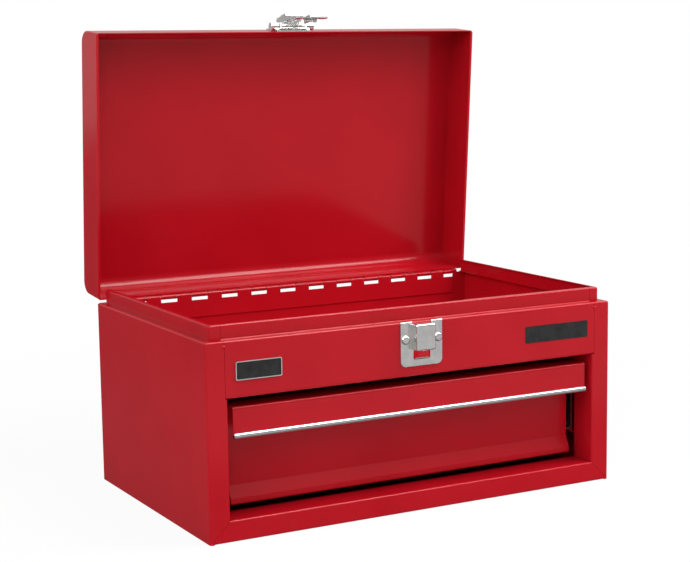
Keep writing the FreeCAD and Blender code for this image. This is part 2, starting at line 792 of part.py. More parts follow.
# The hinge: one leaf inside the back panel, one on the lid, and a pin through their knuckles.

def make_leaf(name, leaf_low, leaf_high, pin, windows, window, window_low, window_high, place, turn):
    """A hinge leaf with its barrel, notched by windows where the other leaf's knuckles run."""
    piece = new_piece(name, place, turn)
    pin_y, pin_z = pin
    face = f"{pin_y} - {PIN_OFFSET}"
    end = HINGE_END
    add(piece, "YZ", rectangle(face, leaf_low, f"{face} + leaf", leaf_high), f"-{end}", end)
    add_round(piece, "YZ", pin, "barrel_radius", f"-{end}", end)
    cut_round(piece, "YZ", pin, "pin_radius + pin_clearance", f"-{end}", end)
    notch = rectangle(f"{windows} - ({window}) / 2", window_low, f"{windows} + ({window}) / 2", window_high)
    low, high = f"{face} - overrun", f"{pin_y} + barrel_radius + overrun"
    pocket = cut(piece, "XZ", notch, low, high)
    count = math.ceil(measure(f"(width / 2 - hinge_margin - ({windows})) / knuckle_pitch"))
    row = piece.newObject("PartDesign::LinearPattern", name + "_row")
    row.Originals = [pocket]
    axis = [item for item in piece.Origin.OriginFeatures if item.Role == "X_Axis"][0]
    row.Direction = (axis, [""])
    row.Occurrences = count
    bind(row, "Length", f"knuckle_pitch * {count - 1}")
    piece.Tip = row
    doc.recompute()
    return piece


def make_box_leaf():
    """Leaf welded inside the back panel."""
    windows = "(first_knuckle - width / 2)"
    return make_leaf("hinge_leaf_box", "height - box_leaf", PIN_Z, (PIN_Y, PIN_Z), windows,
                     "knuckle + 2 * knuckle_gap", "height - box_notch", "height + overrun", ("0", "0", "0"), None)


def make_lid_leaf():
    """Leaf welded on the lid's back wall."""
    windows = "(first_knuckle - knuckle_pitch / 2 - width / 2)"
    return make_leaf("hinge_leaf_lid", "0", "lid_leaf", ("0", "0"), windows,
                     "knuckle_pitch - knuckle", "-overrun", "lid_notch", LID_PLACE, LID_TURN)


def make_hinge_pin():
    """Steel pin through all the knuckles."""
    piece = new_piece("hinge_pin")
    add_round(piece, "YZ", (PIN_Y, PIN_Z), "pin_radius", f"-{HINGE_END}", HINGE_END)
    return piece


# The lid and what it carries, drawn closed about the hinge pin and then turned open.

LID_PLACE = ("0", PIN_Y, PIN_Z)
LID_TURN = "-open_angle"
LID_TOP = f"({RIM} + lid_height)"
LID_SIDE = "(width / 2 - lid_side_inset)"


def make_lid_shell():
    """One-piece lid: deep rim, wide bends at front and back, hemmed end walls."""
    piece = new_piece("lid_shell", LID_PLACE, LID_TURN)
    rear = f"-{PIN_OFFSET}"
    profile = [(LID_FRONT, RIM), (rear, RIM), (rear, LID_TOP, "lid_bend"), (LID_FRONT, LID_TOP, "lid_bend")]
    add(piece, "YZ", profile, f"-{LID_SIDE}", LID_SIDE)
    round_edges(piece, "bend", lambda point: level(abs(point.x), LID_SIDE), lambda point: level(point.z, RIM))
    inner = [
        (f"{LID_FRONT} + sheet", f"{RIM} - overrun"),
        (f"{rear} - sheet", f"{RIM} - overrun"),
        (f"{rear} - sheet", f"{LID_TOP} - sheet", "lid_bend - sheet"),
        (f"{LID_FRONT} + sheet", f"{LID_TOP} - sheet", "lid_bend - sheet"),
    ]
    cut(piece, "YZ", inner, f"sheet - {LID_SIDE}", f"{LID_SIDE} - sheet")
    hem = rectangle(f"{LID_FRONT} + sheet", RIM, f"{rear} - sheet", f"{RIM} + lid_hem")
    add(piece, "YZ", hem, f"sheet - {LID_SIDE}", f"2 * sheet - {LID_SIDE}")
    add(piece, "YZ", hem, f"{LID_SIDE} - 2 * sheet", f"{LID_SIDE} - sheet")
    step = rectangle(f"{LID_FRONT} + bend", RIM, f"{rear} - bend", f"{RIM} + lid_hem")
    add(piece, "YZ", step, f"-({LID_SIDE} + lid_step)", f"-{LID_SIDE}")
    add(piece, "YZ", step, LID_SIDE, f"{LID_SIDE} + lid_step")
    return piece


# The latch on the lid's front wall, drawn about its own pin.

LATCH_Y = f"({LID_FRONT} - latch_pivot_out)"
LATCH_Z = f"({RIM} + latch_pivot_up)"
LATCH_PLACE = (
    "0",
    f"{PIN_Y} + {LATCH_Y} * cos(open_angle) + {LATCH_Z} * sin(open_angle)",
    f"{PIN_Z} - {LATCH_Y} * sin(open_angle) + {LATCH_Z} * cos(open_angle)",
)
FLAP_TURN = "-(open_angle + flap_lift)"
KNUCKLE_IN = "(latch_width / 2 - latch_knuckle)"
FLAP_SIDE = f"({KNUCKLE_IN} - latch_gap)"


def make_latch_base():
    """Plate on the lid's front wall with a knuckle at each end for the latch pin."""
    piece = new_piece("latch_base", LATCH_PLACE, LID_TURN)
    wall = "latch_pivot_out"
    low, high = "latch_plate_low - latch_pivot_up", "latch_plate_high - latch_pivot_up"
    half = "latch_plate_width / 2"
    plate = rectangle(f"-{half}", low, half, high, "bend")
    add(piece, "XZ", plate, f"{wall} - latch_plate", wall)
    for ends in (("-latch_width / 2", f"-{KNUCKLE_IN}"), (KNUCKLE_IN, "latch_width / 2")):
        add_round(piece, "YZ", ("0", "0"), "latch_barrel", *ends)
    cut_round(piece, "YZ", ("0", "0"), "latch_pin + pin_clearance", "-latch_width / 2", "latch_width / 2")
    for side in EACH_WAY:
        centre = (f"{side} * latch_rivet_out", "latch_rivet_up - latch_pivot_up")
        cut_round(piece, "XZ", centre, "rivet_shank", f"{wall} - latch_plate - overrun", f"{wall} + overrun")
    return piece


def make_latch_pin():
    """Pin that the latch flap swings on."""
    piece = new_piece("latch_pin", LATCH_PLACE, LID_TURN)
    add_round(piece, "YZ", ("0", "0"), "latch_pin", "-latch_width / 2", "latch_width / 2")
    return piece


def make_latch_flap():
    """Flap with two curved cheeks, a thumb block, a cross strip and the lug that enters the catch."""
    piece = new_piece("latch_flap", LATCH_PLACE, FLAP_TURN)
    inner = "(latch_pivot_out - lid_front_inset - catch_sheet - catch_gap)"
    outer = f"({inner} - cheek)"
    strip_top = "(strip_height - flap_length)"
    cheek = [
        ("cheek_top", "cheek_top", "cheek_top * 0.75"),
        ("-cheek_reach", "cheek_top", "cheek_top"),
        ("-cheek_reach", "-cheek_shoulder", "cheek_shoulder / 2"),
        (outer, "-flap_length"),
        (inner, "-flap_length"),
        (inner, f"{strip_top} + cheek", "cheek"),
        ("-cheek_clear", f"{strip_top} + cheek_reach", "cheek_reach / 2"),
        ("-cheek_clear", "-cheek_reach", "cheek_top"),
        ("cheek_top", "-cheek_top", "cheek_top / 2"),
    ]
    add(piece, "YZ", cheek, f"-{FLAP_SIDE}", f"cheek - {FLAP_SIDE}")
    add(piece, "YZ", cheek, f"{FLAP_SIDE} - cheek", FLAP_SIDE)
    thumb = [
        ("-thumb_reach", "cheek_top - thumb_height", "thumb_round"),
        ("0", "cheek_top - thumb_height"),
        ("0", "cheek_top"),
        ("-thumb_reach", "cheek_top", "thumb_round"),
    ]
    add(piece, "YZ", thumb, "-thumb_width / 2", "thumb_width / 2")
    add_round(piece, "YZ", ("0", "0"), "flap_barrel", f"-{FLAP_SIDE}", FLAP_SIDE)
    add(piece, "YZ", rectangle(outer, "-flap_length", inner, strip_top), "-strip_width / 2", "strip_width / 2")
    lug = rectangle(outer, f"{strip_top} - lug_height", f"{inner} + lug_reach", strip_top)
    add(piece, "YZ", lug, "-lug_width / 2", "lug_width / 2")
    cut_round(piece, "YZ", ("0", "0"), "latch_pin + pin_clearance", f"-{FLAP_SIDE}", FLAP_SIDE)
    return piece


def make_latch_rivets():
    """Two rivets that hold the latch's plate."""
    places = [(f"{side} * latch_rivet_out", "latch_rivet_up - latch_pivot_up") for side in EACH_WAY]
    face = "latch_pivot_out - latch_plate"
    return make_rivets("latch_rivets", "XZ", places, face, -1, "latch_rivet_radius", "latch_rivet_head",
                       "latch_pivot_out", LATCH_PLACE, LID_TURN)


# The catch on the front panel.

def make_catch_plate():
    """Plate with the raised staple that the latch flap closes round, and the slot below it."""
    piece = new_piece("catch_plate")
    half = "catch_width / 2"
    face = f"{FRONT} - catch_sheet"
    through = (f"{face} - overrun", f"{FRONT} + overrun")
    outline = [
        (f"-{half}", CATCH_BOTTOM, "catch_round"),
        (half, CATCH_BOTTOM, "catch_round"),
        (half, "height"),
        (f"-{half}", "height"),
    ]
    add(piece, "XZ", outline, face, FRONT)
    round_edges(piece, "catch_sheet / 2", lambda point: level(point.y, face))
    staple = rectangle("-staple_width / 2", STAPLE_LOW, "staple_width / 2", STAPLE_HIGH, "staple_round")
    tip = f"{FRONT} - staple_reach"
    add(piece, "XZ", staple, tip, face)
    round_edges(piece, "staple_round * 0.8", lambda point: level(point.y, tip))
    slot = rectangle("-slot_width / 2", SLOT_LOW, "slot_width / 2", SLOT_HIGH, "bend")
    cut(piece, "XZ", slot, *through)
    notch = rectangle("-staple_width / 2", STAPLE_HIGH, "staple_width / 2", "height + overrun")
    cut(piece, "XZ", notch, *through)
    for side in EACH_WAY:
        cut_round(piece, "XZ", (f"{side} * catch_rivet_out", CATCH_RIVET_LEVEL), "rivet_shank", *through)
    return piece


def make_catch_spring():
    """Spring tongue behind the slot, curled forward over its lower edge."""
    piece = new_piece("catch_spring")
    back = f"{FRONT} + sheet + spring_sheet"
    top = f"{SLOT_LOW} + spring_rise"
    path = [(back, f"{SLOT_LOW} - spring_root"), (back, top), (f"{FRONT} - catch_sheet", top)]
    fold(piece, "YZ", path, "-spring_width / 2", "spring_width / 2", "spring_sheet", "2 * spring_sheet")
    return piece


def make_catch_rivets():
    """Two domed rivets that hold the catch plate."""
    places = [(f"{side} * catch_rivet_out", CATCH_RIVET_LEVEL) for side in EACH_WAY]
    return make_rivets("catch_rivets", "XZ", places, f"{FRONT} - catch_sheet", -1, "catch_rivet_radius",
                       "catch_rivet_head", f"{FRONT} + sheet")


def make_badge():
    """Bare badge on the left: a thin frame and the plate inside it."""
    right, top = "badge_left + badge_width", f"{BADGE_BOTTOM} + badge_height"
    face = f"{FRONT} - badge_sheet"
    inset = "badge_frame"
    outer = rectangle("badge_left - width / 2", BADGE_BOTTOM, f"{right} - width / 2", top, "badge_round")
    inner = rectangle(f"badge_left + {inset} - width / 2", f"{BADGE_BOTTOM} + {inset}",
                      f"{right} - {inset} - width / 2", f"{top} - {inset}", f"badge_round - {inset} / 2")
    gap = f"({inset} + badge_clearance)"
    fill = rectangle(f"badge_left + {gap} - width / 2", f"{BADGE_BOTTOM} + {gap}",
                     f"{right} - {gap} - width / 2", f"{top} - {gap}", f"badge_round - {inset} / 2")
    frame = new_piece("badge_frame")
    add(frame, "XZ", outer, face, FRONT)
    cut(frame, "XZ", inner, f"{face} - overrun", f"{FRONT} + overrun")
    plate = new_piece("badge_plate")
    add(plate, "XZ", fill, f"{face} + badge_sheet / 4", FRONT)
    return frame, plate


def make_label():
    """Bare label on the right."""
    piece = new_piece("label_plate")
    outline = rectangle("label_left - width / 2", LABEL_BOTTOM, "label_left + label_width - width / 2",
                        f"{LABEL_BOTTOM} + label_height")
    add(piece, "XZ", outline, f"{FRONT} - label_sheet", FRONT)
    return piece


# The folding carry handle on top of the lid, drawn about its own pivot.

HANDLE_Y = f"(({LID_FRONT} - {PIN_OFFSET}) / 2)"
HANDLE_Z = f"({LID_TOP} + handle_rise)"
HANDLE_PLACE = (
    "0",
    f"{PIN_Y} + {HANDLE_Y} * cos(open_angle) + {HANDLE_Z} * sin(open_angle)",
    f"{PIN_Z} - {HANDLE_Y} * sin(open_angle) + {HANDLE_Z} * cos(open_angle)",
)
EAR_IN = "(handle_span / 2 + handle_end_bend + bracket_air)"


def make_handle_bail():
    """Bent steel rod, its ends turned out into the brackets."""
    piece = new_piece("handle_bail", HANDLE_PLACE, LID_TURN)
    half = "handle_span / 2"
    tip = f"{half} + handle_end"
    spine = draw(new_sketch(piece, "XY", "0"), [
        (f"-({tip})", "0"),
        (f"-{half}", "0", "handle_end_bend"),
        (f"-{half}", "handle_leg", "handle_bend"),
        (half, "handle_leg", "handle_bend"),
        (half, "0", "handle_end_bend"),
        (tip, "0"),
    ], closed=False)
    section = draw_circle(new_sketch(piece, "YZ", f"-({tip})"), "0", "0", "handle_rod")
    pipe = piece.newObject("PartDesign::AdditivePipe", "handle_bail_pipe")
    pipe.Profile = section
    pipe.Spine = (spine, [f"Edge{number + 1}" for number in range(len(spine.Shape.Edges))])
    doc.recompute()
    return piece


def make_handle_grip():
    """Moulded grip on the bail's crossbar."""
    piece = new_piece("handle_grip", HANDLE_PLACE, LID_TURN)
    ends = ("-grip_length / 2", "grip_length / 2")
    add_round(piece, "YZ", ("handle_leg", "0"), "handle_rod + grip_wall", *ends)
    round_edges(piece, "grip_wall / 2", lambda point: level(abs(point.x), "grip_length / 2"))
    cut_round(piece, "YZ", ("handle_leg", "0"), "handle_rod + badge_clearance", *ends)
    return piece


def make_handle_bracket():
    """Bracket on the lid: a riveted foot and a round-topped ear."""
    piece = new_piece("handle_bracket_left", HANDLE_PLACE, LID_TURN)
    half = "bracket_width / 2"
    crown = "(handle_rod + bracket_crown)"
    foot = "-handle_rise"
    plate = rectangle(f"-{EAR_IN} - bracket_foot", f"-{half}", f"-{EAR_IN}", half)
    add(piece, "XY", plate, foot, f"{foot} + bracket_plate")
    ear = [
        (f"-{half}", foot),
        (half, foot),
        (crown, crown, f"{crown} * 0.75"),
        (f"-{crown}", crown, f"{crown} * 0.75"),
    ]
    add(piece, "YZ", ear, f"-{EAR_IN} - bracket_plate", f"-{EAR_IN}")
    cut_round(piece, "YZ", ("0", "0"), "handle_rod + handle_clearance", f"-{EAR_IN} - overrun", f"overrun - {EAR_IN}")
    for place in handle_rivet_places(-1):
        cut_round(piece, "XY", place, "rivet_shank", f"{foot} - overrun", f"{foot} + overrun")
    return piece


def handle_rivet_places(side):
    """Return the two rivet places of one handle bracket."""
    across = f"{side} * ({EAR_IN} + bracket_foot * 0.6)"
    return [(across, f"{way} * bracket_width * 0.27") for way in EACH_WAY]


def make_handle_rivets():
    """Four rivets that hold the handle's brackets."""
    places = handle_rivet_places(-1) + handle_rivet_places(1)
    return make_rivets("handle_rivets", "XY", places, "bracket_plate - handle_rise", 1, "handle_rivet_radius",
                       "handle_rivet_head", "-handle_rise", HANDLE_PLACE, LID_TURN)


def make_slide_rivets():
    """Rivets that hold a rail to its bracket."""
    return make_rivets("slide_rivets_left", "YZ", rivet_places(), f"{RAIL_BACK} + rail_sheet", 1,
                       "slide_rivet_radius", "slide_rivet_head", f"{RAIL_BACK} - sheet")


def make_runner_rivets():
    """Rivets that hold a runner to the drawer's side."""
    return make_rivets("runner_rivets_left", "YZ", rivet_places(), f"{RUNNER_BACK} + sheet", 1,
                       "slide_rivet_radius", "slide_rivet_head", f"{RUNNER_BACK} - rail_sheet")


def build_box():
    """Build every piece of the box, body by body."""
    mirrored(make_side_panel(), "side_panel_right")
    make_front_panel()
    make_rear_panel()
    make_base_panel()
    make_compartment_floor()
    mirrored(make_slide_bracket(), "slide_bracket_right")
    mirrored(make_slide_rail(), "slide_rail_right")
    mirrored(make_slide_rivets(), "slide_rivets_right")
    make_catch_plate()
    make_catch_spring()
    make_catch_rivets()
    make_badge()
    make_label()
    make_box_leaf()
    make_hinge_pin()
    make_lid_leaf()
    make_lid_shell()
    make_latch_base()
    make_latch_pin()
    make_latch_rivets()
    make_latch_flap()
    mirrored(make_handle_bracket(), "handle_bracket_right")
    make_handle_rivets()
    make_handle_bail()
    make_handle_grip()
    mirrored(make_ball_cage(), "ball_cage_right")
    mirrored(make_slide_balls(), "slide_balls_right")
    mirrored(make_drawer_runner(), "drawer_runner_right")
    mirrored(make_runner_rivets(), "runner_rivets_right")
    make_drawer_front()
    make_drawer_tray()
    make_drawer_pull()


def write_pieces():
    """Check every object of the document, and write each piece to its own file."""
    doc.recompute()
    for item in doc.Objects:
        if "Invalid" in item.State or "Error" in item.State:
            raise RuntimeError(f"{item.Label} did not build: {item.State}")
    os.makedirs("parts", exist_ok=True)
    for piece in pieces:
        shape = piece.Shape
        if shape.isNull() or not shape.isValid():
            raise RuntimeError(f"{piece.Label} is not a valid shape")
        shape.exportStep(f"parts/{piece.Label}.step")
        box = shape.BoundBox
        print(f"{piece.Label}: {len(shape.Solids)} solid(s), {shape.Volume:.0f} mm3,"
              f" Z {box.ZMin:.1f} to {box.ZMax:.1f}")


build_box()
write_pieces()
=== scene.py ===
# %% [markdown]
# # A portable steel tool box
#
# The real thing is a small box of folded sheet steel, powder-coated red: a compartment under a
# lift-up lid, a drawer on ball slides below it, a latch in front and a carry handle on top.
# The shapes that fold, slide and turn arrive ready-made as a fixed frame. Here they get their
# finishes, and the small marks that a sheet-metal shop leaves are modelled on them.

# %% Load the frame
import json

import bmesh
import bpy
from mathutils import Matrix, Vector


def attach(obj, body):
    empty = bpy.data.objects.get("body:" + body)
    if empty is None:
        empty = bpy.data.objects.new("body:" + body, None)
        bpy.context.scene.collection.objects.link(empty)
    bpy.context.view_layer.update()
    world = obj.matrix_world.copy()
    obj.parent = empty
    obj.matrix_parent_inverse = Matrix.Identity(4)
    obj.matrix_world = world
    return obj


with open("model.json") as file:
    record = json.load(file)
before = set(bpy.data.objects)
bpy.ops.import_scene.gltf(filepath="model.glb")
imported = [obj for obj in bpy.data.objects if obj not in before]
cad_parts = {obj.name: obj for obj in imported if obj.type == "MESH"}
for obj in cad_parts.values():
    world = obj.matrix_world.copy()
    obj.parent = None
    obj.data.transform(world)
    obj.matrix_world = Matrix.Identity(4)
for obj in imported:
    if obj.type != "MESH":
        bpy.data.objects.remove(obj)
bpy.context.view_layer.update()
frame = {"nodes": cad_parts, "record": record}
nodes = frame["nodes"]

# %% [markdown]
# ## Units
#
# Sheet metal is thought of in millimetres and Blender works in metres, so one factor turns the
# first into the second. A value then reads as it would on the drawing.

# %% Millimetres
MM = 0.001
print("one millimetre is", MM, "m")


def at(x, y, z):
    """A point of the box given in millimetres."""
    return Vector((x * MM, y * MM, z * MM))


# %% [markdown]
# ## A finish from nodes
#
# Every finish of this box is a bare surface with three kinds of unevenness: its colour drifts a
# little, its gloss drifts a little, and it has a fine relief. One Principled shader with three
# noise textures can say all of that. The alternative, a painted picture for each piece, would
# have to be redrawn whenever a panel changes. The noise reads Object coordinates, which are real
# metres here, so a grain of 1 mm is 1 mm on every piece and stays put when the lid moves.

# %% The parts of a finish
EVEN = (1.0, 1.0, 1.0)
NOISE_LOW = 0.3
NOISE_HIGH = 0.7


def new_finish(name, colour, metallic):
    """A material with one Principled shader, and its nodes for the rest to be hung on."""
    material = bpy.data.materials.new(name)
    material.use_nodes = True
    tree = material.node_tree
    shader = tree.nodes["Principled BSDF"]
    shader.inputs["Base Color"].default_value = (*colour, 1.0)
    shader.inputs["Metallic"].default_value = metallic
    material.diffuse_color = (*colour, 1.0)
    return material, tree, shader


def object_space(tree, stretch=EVEN):
    """Real-size coordinates, squeezed along an axis where a grain runs that way."""
    place = tree.nodes.new("ShaderNodeTexCoord")
    mapping = tree.nodes.new("ShaderNodeMapping")
    mapping.inputs["Scale"].default_value = stretch
    tree.links.new(place.outputs["Object"], mapping.inputs["Vector"])
    return mapping.outputs["Vector"]


def noise(tree, where, grain, detail=2.0):
    """Noise whose lumps are about `grain` millimetres across."""
    texture = tree.nodes.new("ShaderNodeTexNoise")
    texture.inputs["Scale"].default_value = 1.0 / (grain * MM)
    texture.inputs["Detail"].default_value = detail
    tree.links.new(where, texture.inputs["Vector"])
    return texture.outputs["Fac"]


def between(tree, fac, low, high):
    """Turns noise, which keeps near 0.5, into a drift from one value to another."""
    ramp = tree.nodes.new("ShaderNodeMapRange")
    ramp.inputs["From Min"].default_value = NOISE_LOW
    ramp.inputs["From Max"].default_value = NOISE_HIGH
    ramp.inputs["To Min"].default_value = low
    ramp.inputs["To Max"].default_value = high
    tree.links.new(fac, ramp.inputs["Value"])
    return ramp.outputs["Result"]


def two_tones(tree, fac, dark, light):
    """A colour that drifts from one tone to another."""
    mix = tree.nodes.new("ShaderNodeMix")
    mix.data_type = "RGBA"
    mix.inputs["A"].default_value = (*dark, 1.0)
    mix.inputs["B"].default_value = (*light, 1.0)
    tree.links.new(fac, mix.inputs["Factor"])
    return mix.outputs["Result"]


def relief(tree, shader, fac, depth, under=None):
    """Raises the surface by up to `depth` millimetres where the noise is high."""
    bump = tree.nodes.new("ShaderNodeBump")
    bump.inputs["Strength"].default_value = 1.0
    bump.inputs["Distance"].default_value = depth * MM
    tree.links.new(fac, bump.inputs["Height"])
    if under is not None:
        tree.links.new(under, bump.inputs["Normal"])
    tree.links.new(bump.outputs["Normal"], shader.inputs["Normal"])
    return bump.outputs["Normal"]


# %% [markdown]
# ## Red powder coat
#
# The paint is baked powder: a thick, glossy, even skin whose surface has a faint orange peel of
# a few millimetres, because the powder melts in grains and never flows quite flat. The red is
# deep and a little darker where the coat runs thick. A strong coat layer would look like car
# lacquer, so the gloss comes from the base shader alone.

# %% Red paint
PAINT_RED = (0.425, 0.0055, 0.013)
PAINT_DEEP = (0.39, 0.0045, 0.011)
PAINT_GLOSS = 0.22
PAINT_ROUGHNESS = (0.12, 0.18)
THICK_AND_THIN = 60.0
GLOSS_PATCH = 25.0
PEEL_GRAIN = 4.0
PEEL_DEPTH = 0.008
POWDER_GRAIN = 0.8
POWDER_DEPTH = 0.001

red_paint, tree, shader = new_finish("red_paint", PAINT_RED, 0.0)
where = object_space(tree)
shader.inputs["Specular IOR Level"].default_value = PAINT_GLOSS
drift = between(tree, noise(tree, where, THICK_AND_THIN), 0.0, 1.0)
tree.links.new(two_tones(tree, drift, PAINT_DEEP, PAINT_RED), shader.inputs["Base Color"])
patches = noise(tree, where, GLOSS_PATCH)
tree.links.new(between(tree, patches, *PAINT_ROUGHNESS), shader.inputs["Roughness"])
peel = relief(tree, shader, noise(tree, where, PEEL_GRAIN), PEEL_DEPTH)
relief(tree, shader, noise(tree, where, POWDER_GRAIN), POWDER_DEPTH, peel)
print("red paint, peel of", PEEL_GRAIN, "mm")

# %% [markdown]
# ## Bright plating
#
# The catch, the latch, the handle and its brackets are pressed steel with bright nickel on it.
# Plating copies what lies below, so it mirrors the room with a slight waviness from the press
# and has fine rubbing marks. A metal has no colour but its reflection, so the base colour is a
# light, nearly neutral grey.

# %% Bright plate
NICKEL = (0.78, 0.77, 0.75)
NICKEL_DULL = (0.66, 0.65, 0.64)
NICKEL_ROUGHNESS = (0.14, 0.26)
RUBBED = (1.0, 0.15, 1.0)
FINE = 4.0
TARNISH_PATCH = 9.0
RUB_GRAIN = 1.2
PRESS_GRAIN = 6.0
PRESS_DEPTH = 0.02
SCRATCH_GRAIN = 0.5
SCRATCH_DEPTH = 0.0015

bright_plate, tree, shader = new_finish("bright_plate", NICKEL, 1.0)
where = object_space(tree)
along = object_space(tree, RUBBED)
drift = between(tree, noise(tree, where, TARNISH_PATCH, FINE), 0.0, 1.0)
tree.links.new(two_tones(tree, drift, NICKEL_DULL, NICKEL), shader.inputs["Base Color"])
rubs = noise(tree, along, RUB_GRAIN, FINE)
tree.links.new(between(tree, rubs, *NICKEL_ROUGHNESS), shader.inputs["Roughness"])
wave = relief(tree, shader, noise(tree, where, PRESS_GRAIN), PRESS_DEPTH)
relief(tree, shader, noise(tree, along, SCRATCH_GRAIN), SCRATCH_DEPTH, wave)
print("bright plate, waves of", PRESS_GRAIN, "mm")

# %% [markdown]
# ## Zinc-plated slides
#
# Drawer slides are rolled from strip and dipped in zinc, which dries in dull flakes of
# slightly different greys. Voronoi cells have that look of flakes, and plain noise does not.

# %% Zinc steel
ZINC_LIGHT = (0.60, 0.61, 0.63)
ZINC_DARK = (0.44, 0.45, 0.47)
FLAKE = 3.0
ZINC_ROUGHNESS = (0.3, 0.42)
ZINC_PATCH = 4.0
ZINC_GRAIN = 0.7
ZINC_DEPTH = 0.004

zinc_steel, tree, shader = new_finish("zinc_steel", ZINC_LIGHT, 1.0)
where = object_space(tree)
flakes = tree.nodes.new("ShaderNodeTexVoronoi")
flakes.inputs["Scale"].default_value = 1.0 / (FLAKE * MM)
tree.links.new(where, flakes.inputs["Vector"])
grey = tree.nodes.new("ShaderNodeSeparateColor")
tree.links.new(flakes.outputs["Color"], grey.inputs["Color"])
greys = two_tones(tree, grey.outputs["Red"], ZINC_DARK, ZINC_LIGHT)
tree.links.new(greys, shader.inputs["Base Color"])
patches = noise(tree, where, ZINC_PATCH)
tree.links.new(between(tree, patches, *ZINC_ROUGHNESS), shader.inputs["Roughness"])
relief(tree, shader, noise(tree, where, ZINC_GRAIN), ZINC_DEPTH)
print("zinc steel, flakes of", FLAKE, "mm")

# %% [markdown]
# ## Aluminium pull
#
# The pull is an extrusion: everything on it runs along its length, the die lines and the
# polish alike. Noise that is squeezed fifty times along X gives such lines.

# %% Bright aluminium
ALUMINIUM = (0.88, 0.88, 0.89)
ALUMINIUM_DULL = (0.74, 0.74, 0.76)
DRAWN = (0.02, 1.0, 1.0)
ALUMINIUM_ROUGHNESS = (0.22, 0.34)
DIE_LINE = 0.8
POLISH_LINE = 1.5
HAIRLINE = 0.4
HAIRLINE_DEPTH = 0.003

bright_aluminium, tree, shader = new_finish("bright_aluminium", ALUMINIUM, 1.0)
lines = object_space(tree, DRAWN)
streaks = between(tree, noise(tree, lines, DIE_LINE, FINE), 0.0, 1.0)
tones = two_tones(tree, streaks, ALUMINIUM_DULL, ALUMINIUM)
tree.links.new(tones, shader.inputs["Base Color"])
polish = noise(tree, lines, POLISH_LINE)
tree.links.new(between(tree, polish, *ALUMINIUM_ROUGHNESS), shader.inputs["Roughness"])
relief(tree, shader, noise(tree, lines, HAIRLINE), HAIRLINE_DEPTH)
print("bright aluminium, lines of", DIE_LINE, "mm")

# %% [markdown]
# ## Black plate and black grip
#
# The badge's field and the label are bare, glossy black. The grip of the handle is moulded in a
# soft black plastic with the fine leathery grain of the mould, so it hardly shines.

# %% Black plate
GLOSS_BLACK = (0.012, 0.012, 0.013)
GLOSS_BLACK_WORN = (0.022, 0.022, 0.023)
BLACK_GLOSS = 0.3
BLACK_ROUGHNESS = (0.22, 0.32)
BLACK_PATCH = 8.0
BLACK_WEAR = 5.0
BLACK_GRAIN = 1.5
BLACK_DEPTH = 0.004

black_plate, tree, shader = new_finish("black_plate", GLOSS_BLACK, 0.0)
where = object_space(tree)
shader.inputs["Specular IOR Level"].default_value = BLACK_GLOSS
drift = between(tree, noise(tree, where, BLACK_PATCH, FINE), 0.0, 1.0)
tones = two_tones(tree, drift, GLOSS_BLACK, GLOSS_BLACK_WORN)
tree.links.new(tones, shader.inputs["Base Color"])
wear = noise(tree, where, BLACK_WEAR)
tree.links.new(between(tree, wear, *BLACK_ROUGHNESS), shader.inputs["Roughness"])
relief(tree, shader, noise(tree, where, BLACK_GRAIN), BLACK_DEPTH)
print("black plate, patches of", BLACK_PATCH, "mm")

# %% Grip
GRIP_BLACK = (0.022, 0.022, 0.023)
GRIP_RUBBED = (0.04, 0.04, 0.041)
GRIP_ROUGHNESS = (0.5, 0.65)
GRIP_PATCH = 12.0
GRIP_WEAR = 4.0
GRIP_GRAIN = 0.6
GRIP_DETAIL = 3.0
GRIP_DEPTH = 0.06

black_grip, tree, shader = new_finish("black_grip", GRIP_BLACK, 0.0)
where = object_space(tree)
drift = between(tree, noise(tree, where, GRIP_PATCH, FINE), 0.0, 1.0)
tree.links.new(two_tones(tree, drift, GRIP_BLACK, GRIP_RUBBED), shader.inputs["Base Color"])
wear = noise(tree, where, GRIP_WEAR)
tree.links.new(between(tree, wear, *GRIP_ROUGHNESS), shader.inputs["Roughness"])
relief(tree, shader, noise(tree, where, GRIP_GRAIN, GRIP_DETAIL), GRIP_DEPTH)
print("grip, grain of", GRIP_GRAIN, "mm")

# %% [markdown]
# ## Which piece has which finish
#
# The record names a slot for each piece, and the finishes above carry those names, so the
# pieces can be dressed in one loop instead of one by one.

# %% Dress the frame
finishes = {
    "red_paint": red_paint,
    "bright_plate": bright_plate,
    "zinc_steel": zinc_steel,
    "bright_aluminium": bright_aluminium,
    "black_plate": black_plate,
    "black_grip": black_grip,
}

for part in frame["record"]["subparts"]:
    mesh = nodes[part["node"]].data
    mesh.materials.clear()
    mesh.materials.append(finishes[part["material_slot"]])
    print(part["node"], "in", part["material_slot"])


# %% [markdown]
# ## Weld nubs
#
# The front is a separate sheet, held to the side posts by a small weld at the top of each seam.
# After painting, each weld is a smooth, low bump. A sphere that is flattened and sunk halfway
# into the sheet gives one without a visible joint, and it takes the box's own paint.

# %% Weld nubs
NUB_RADIUS = 1.5
NUB_RISE = 0.7
NUB_ACROSS = 186.1
NUB_UP = 164.5
FACE_FRONT = -125.5
NUB_MERIDIANS = 24
NUB_RINGS = 12


def weld_nub(mesh, x, y, z):
    """A flattened sphere in the front sheet."""
    flat = Matrix.Diagonal((NUB_RADIUS * MM, NUB_RISE * MM, NUB_RADIUS * MM, 1.0))
    place = Matrix.Translation(at(x, y, z))
    bmesh.ops.create_uvsphere(
        mesh, u_segments=NUB_MERIDIANS, v_segments=NUB_RINGS, radius=1.0, matrix=place @ flat
    )


